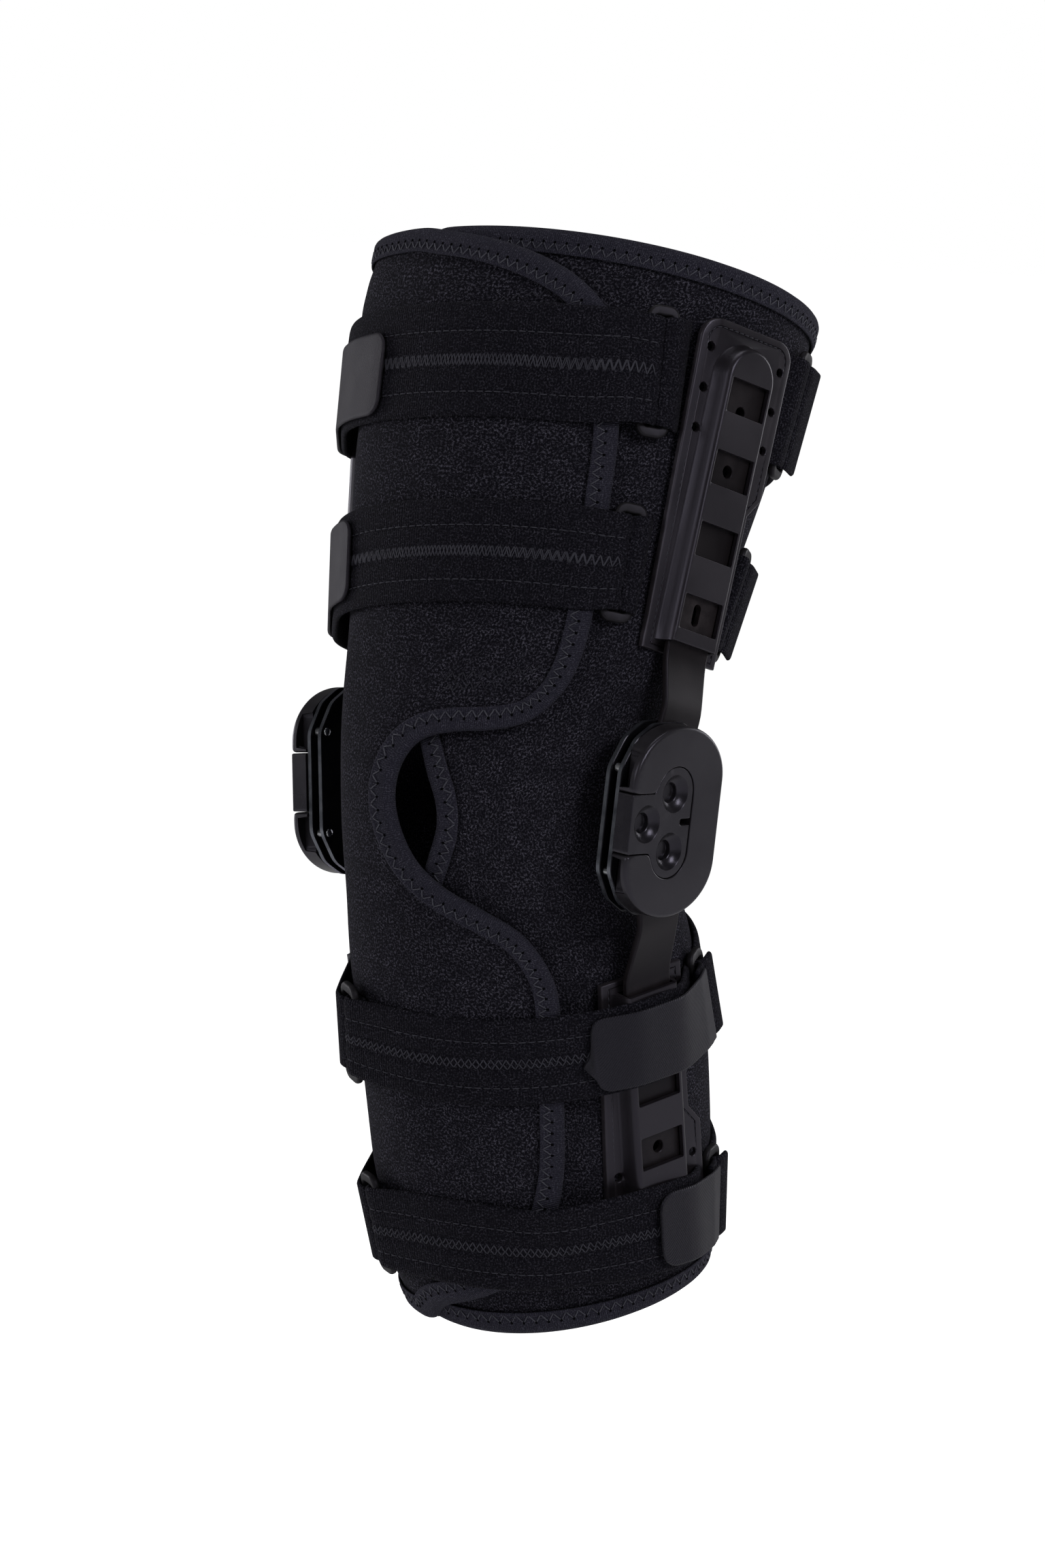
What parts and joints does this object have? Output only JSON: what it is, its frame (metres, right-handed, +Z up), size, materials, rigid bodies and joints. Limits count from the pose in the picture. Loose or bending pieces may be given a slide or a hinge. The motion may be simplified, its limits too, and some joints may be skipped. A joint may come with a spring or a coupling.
{
  "type": "hinged knee brace",
  "caption": "Wrap-on knee brace: padded mesh sleeve with kneecap opening, plush straps on wire rings, and side bars in moulded channels joined by hinges.",
  "frame": {"origin": "middle of the axis through both hinges, at the centre of the knee", "axes": "+Z up along the leg, -Y towards the kneecap, +X towards the hinge that faces the camera"},
  "size_m": [0.2347, 0.2285, 0.4675],
  "materials": {
    "sleeve_cloth": "matte padded mesh",
    "edge_tape": "ribbed tape",
    "strap_cloth": "plush loop cloth",
    "hook_tab": "smooth moulded hook tape",
    "twill_tab": "diagonal twill",
    "ring_wire": "satin black coat",
    "moulding": "fine grained moulding",
    "hinge_shell": "satin moulding",
    "bar_metal": "dark anodised bar",
    "plate_metal": "gloss black",
    "bright_steel": "plain"
  },
  "bodies": {
    "root": {"sleeve": "sleeve_cloth", "edge_tape": "edge_tape", "right_thigh_channel": "moulding", "right_thigh_bar": "bar_metal", "right_calf_channel": "moulding", "right_calf_bar": "bar_metal", "right_hinge_cover": "hinge_shell", "right_stop_insert": "hinge_shell", "right_outer_plate": "plate_metal", "right_inner_plate": "plate_metal", "right_upper_spacer": "bright_steel", "right_lower_spacer": "bright_steel", "right_pad_stud": "bright_steel", "left_thigh_channel": "moulding", "left_thigh_bar": "bar_metal", "left_calf_channel": "moulding", "left_calf_bar": "bar_metal", "left_hinge_cover": "hinge_shell", "left_stop_insert": "hinge_shell", "left_outer_plate": "plate_metal", "left_inner_plate": "plate_metal", "left_upper_spacer": "bright_steel", "left_lower_spacer": "bright_steel", "left_pad_stud": "bright_steel", "thigh_upper_front_ring": "ring_wire", "thigh_upper_rear_ring": "ring_wire", "thigh_upper_far_ring": "ring_wire", "thigh_upper_strap": "strap_cloth", "thigh_upper_tab": "hook_tab", "thigh_upper_rear_strap": "strap_cloth", "thigh_upper_front_band": "strap_cloth", "thigh_upper_rear_band": "strap_cloth", "thigh_lower_front_ring": "ring_wire", "thigh_lower_rear_ring": "ring_wire", "thigh_lower_far_ring": "ring_wire", "thigh_lower_strap": "strap_cloth", "thigh_lower_tab": "hook_tab", "thigh_lower_rear_strap": "strap_cloth", "thigh_lower_front_band": "strap_cloth", "thigh_lower_rear_band": "strap_cloth", "calf_upper_front_ring": "ring_wire", "calf_upper_rear_ring": "ring_wire", "calf_upper_far_ring": "ring_wire", "calf_upper_strap": "strap_cloth", "calf_upper_tab": "twill_tab", "calf_upper_rear_strap": "strap_cloth", "calf_upper_front_band": "strap_cloth", "calf_upper_rear_band": "strap_cloth", "calf_lower_front_ring": "ring_wire", "calf_lower_rear_ring": "ring_wire", "calf_lower_far_ring": "ring_wire", "calf_lower_strap": "strap_cloth", "calf_lower_tab": "twill_tab", "calf_lower_rear_strap": "strap_cloth", "calf_lower_front_band": "strap_cloth", "calf_lower_rear_band": "strap_cloth"}
  },
  "joints": []
}
